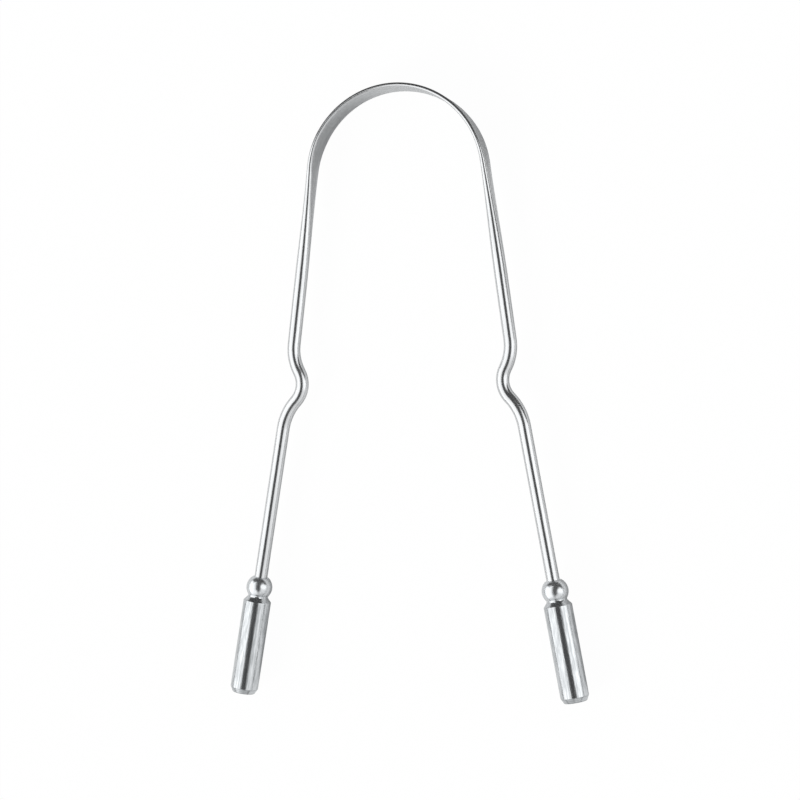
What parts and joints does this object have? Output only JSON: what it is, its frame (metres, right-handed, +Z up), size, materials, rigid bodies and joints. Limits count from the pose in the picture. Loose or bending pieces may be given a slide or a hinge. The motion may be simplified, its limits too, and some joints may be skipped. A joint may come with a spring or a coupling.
{
  "type": "tongue scraper",
  "caption": "U-shaped steel tongue scraper: a bent wire bow whose arch is rolled into a flat scraping band, with a finger bend in each leg and a turned grip on each end.",
  "frame": {"origin": "middle of the footprint, on the table that the scraper lies on", "axes": "+X to the right, +Y from the grips to the arch, +Z up, square to the plane of the bow"},
  "size_m": [0.0842, 0.1396, 0.0076],
  "materials": {
    "wire_steel": "polished stainless spring wire, with satin rolled faces on the band",
    "grip_steel": "polished turned stainless steel with fine lathe marks"
  },
  "bodies": {
    "root": {"scraper_bow": "wire_steel", "left_grip": "grip_steel", "right_grip": "grip_steel"}
  },
  "joints": []
}
